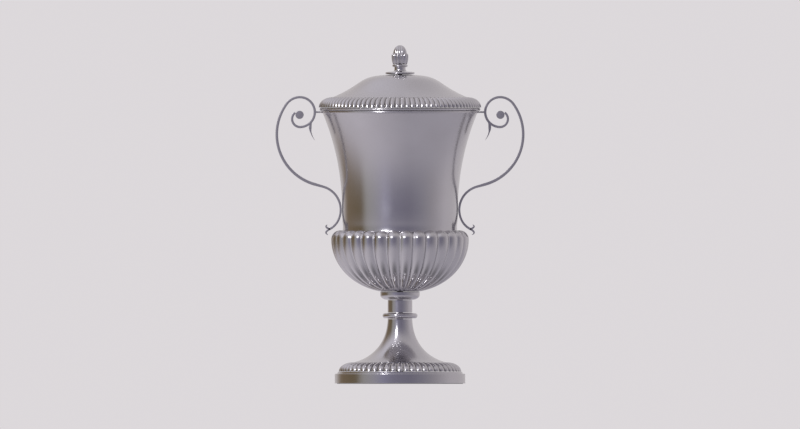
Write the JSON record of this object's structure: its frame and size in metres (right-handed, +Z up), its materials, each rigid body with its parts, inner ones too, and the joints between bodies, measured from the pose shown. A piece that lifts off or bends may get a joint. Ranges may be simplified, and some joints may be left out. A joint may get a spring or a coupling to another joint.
{
  "type": "cup trophy",
  "caption": "Tall two-handled silver trophy cup on a round foot, with a lobed lower bowl, flat scroll handles and a lift-off domed cover with a bud finial.",
  "frame": {"origin": "centre of the felt's underside, on the surface that the trophy stands on", "axes": "+Z up along the cup's axis; +X towards the right handle; the front faces -Y"},
  "size_m": [0.249, 0.1626, 0.3386],
  "materials": {
    "silver": "polished silver with fine wear",
    "cast_silver": "toned cast silver, satin",
    "steel": "plain machined steel",
    "felt": "dark green wool felt"
  },
  "bodies": {
    "cup": {"felt_pad": "felt", "base_cover": "steel", "tie_rod_foot_nut": "steel", "tie_rod_foot_washer": "steel", "anchor_plate": "steel", "plinth": "silver", "foot_gadroon": "silver", "trumpet_foot": "silver", "knop_ring": "silver", "stem_tube": "silver", "bowl_socket": "silver", "tie_rod": "steel", "fluted_bowl": "silver", "cup_body": "silver", "lip_ring": "silver", "tie_rod_cup_washer": "steel", "tie_rod_cup_nut": "steel", "left_handle_scroll": "cast_silver", "left_handle_boss": "cast_silver", "left_handle_leaf": "cast_silver", "left_handle_fishtail": "cast_silver", "left_handle_bracket": "cast_silver", "right_handle_scroll": "cast_silver", "right_handle_boss": "cast_silver", "right_handle_leaf": "cast_silver", "right_handle_fishtail": "cast_silver", "right_handle_bracket": "cast_silver"},
    "lid": {"lid_rim": "silver", "lid_bezel": "silver", "lid_gadroon": "silver", "lid_dome": "silver", "finial_plate": "silver", "finial_neck": "silver", "finial_bud": "silver", "finial_stud": "steel", "finial_washer": "steel", "finial_nut": "steel"}
  },
  "joints": [
    {"name": "lid_lift", "type": "slide", "parent": "cup", "child": "lid", "axis": [0, 0, 1], "range_m": [0, 0.12]}
  ]
}
